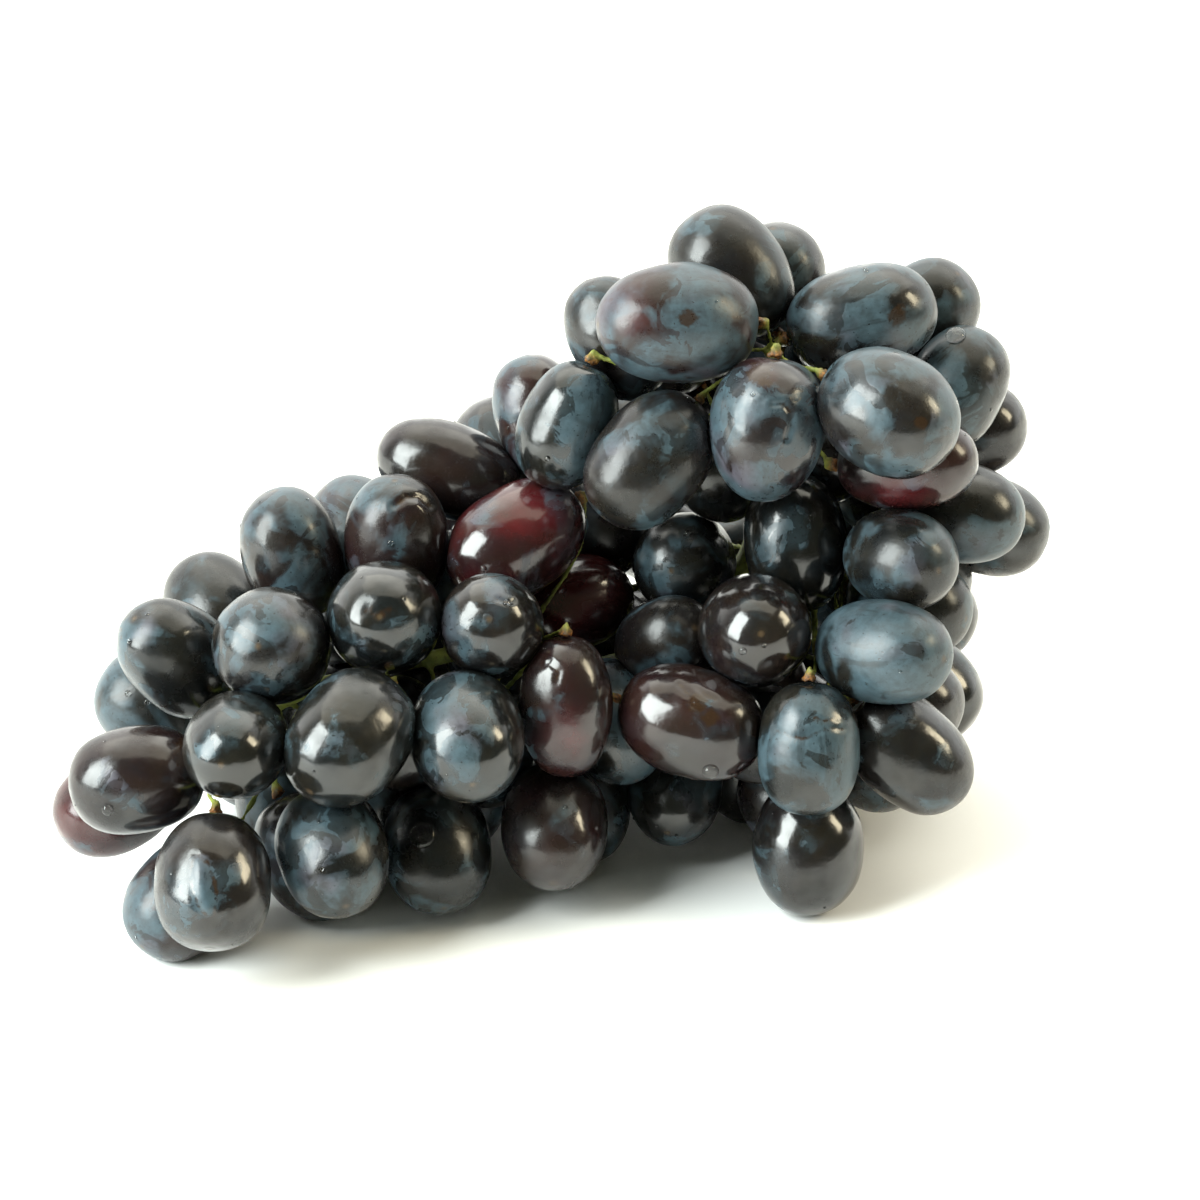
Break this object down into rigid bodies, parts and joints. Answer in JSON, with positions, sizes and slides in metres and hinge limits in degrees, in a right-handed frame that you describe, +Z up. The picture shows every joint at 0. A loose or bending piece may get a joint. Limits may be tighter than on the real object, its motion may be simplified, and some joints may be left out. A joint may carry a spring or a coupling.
{
  "type": "bunch of grapes",
  "caption": "Bunch of dark oval table grapes lying on its side, with a thick shoulder tapering to a low wing; fresh fruit to eat, serve or display.",
  "frame": {"origin": "on the surface the bunch lies on, under the middle of its box", "axes": "+X along the bunch from its low wing towards its thick shoulder, +Y away from the side that faces the viewer, +Z up"},
  "size_m": [0.2024, 0.1594, 0.1273],
  "materials": {
    "grape_skin": "waxy dark skin with a dusty bloom",
    "stem_wood": "matt green-brown stem"
  },
  "bodies": {
    "root": {"crown_grape_1": "grape_skin", "crown_grape_2": "grape_skin", "crown_grape_3": "grape_skin", "crown_grape_4": "grape_skin", "crown_grape_5": "grape_skin", "crown_grape_6": "grape_skin", "flank_grape_1": "grape_skin", "flank_grape_2": "grape_skin", "flank_grape_3": "grape_skin", "flank_grape_4": "grape_skin", "flank_grape_5": "grape_skin", "flank_grape_6": "grape_skin", "flank_grape_7": "grape_skin", "flank_grape_8": "grape_skin", "foot_grape_1": "grape_skin", "foot_grape_2": "grape_skin", "hollow_grape_1": "grape_skin", "hollow_grape_2": "grape_skin", "hollow_grape_3": "grape_skin", "hollow_grape_4": "grape_skin", "hollow_grape_5": "grape_skin", "shoulder_grape_1": "grape_skin", "shoulder_grape_2": "grape_skin", "shoulder_grape_3": "grape_skin", "shoulder_grape_4": "grape_skin", "shoulder_grape_5": "grape_skin", "shoulder_grape_6": "grape_skin", "wing_grape_1": "grape_skin", "wing_grape_2": "grape_skin", "wing_grape_3": "grape_skin", "wing_grape_4": "grape_skin", "wing_grape_5": "grape_skin", "wing_grape_6": "grape_skin", "wing_grape_7": "grape_skin", "wing_grape_8": "grape_skin", "wing_grape_9": "grape_skin", "wing_grape_10": "grape_skin", "wing_grape_11": "grape_skin", "wing_grape_12": "grape_skin", "wing_grape_13": "grape_skin", "wing_grape_14": "grape_skin", "wing_grape_15": "grape_skin", "wing_grape_16": "grape_skin", "base_back_grapes": "grape_skin", "base_front_grapes": "grape_skin", "base_middle_grapes": "grape_skin", "base_right_grapes": "grape_skin", "crown_back_grapes": "grape_skin", "crown_rear_grapes": "grape_skin", "flank_back_grapes": "grape_skin", "flank_low_grapes": "grape_skin", "flank_side_grapes": "grape_skin", "middle_back_grapes": "grape_skin", "middle_low_grapes": "grape_skin", "shoulder_back_grapes": "grape_skin", "wing_back_grapes": "grape_skin", "wing_base_grapes": "grape_skin", "wing_core_grapes": "grape_skin", "wing_rear_grapes": "grape_skin", "stem": "stem_wood"}
  },
  "joints": []
}
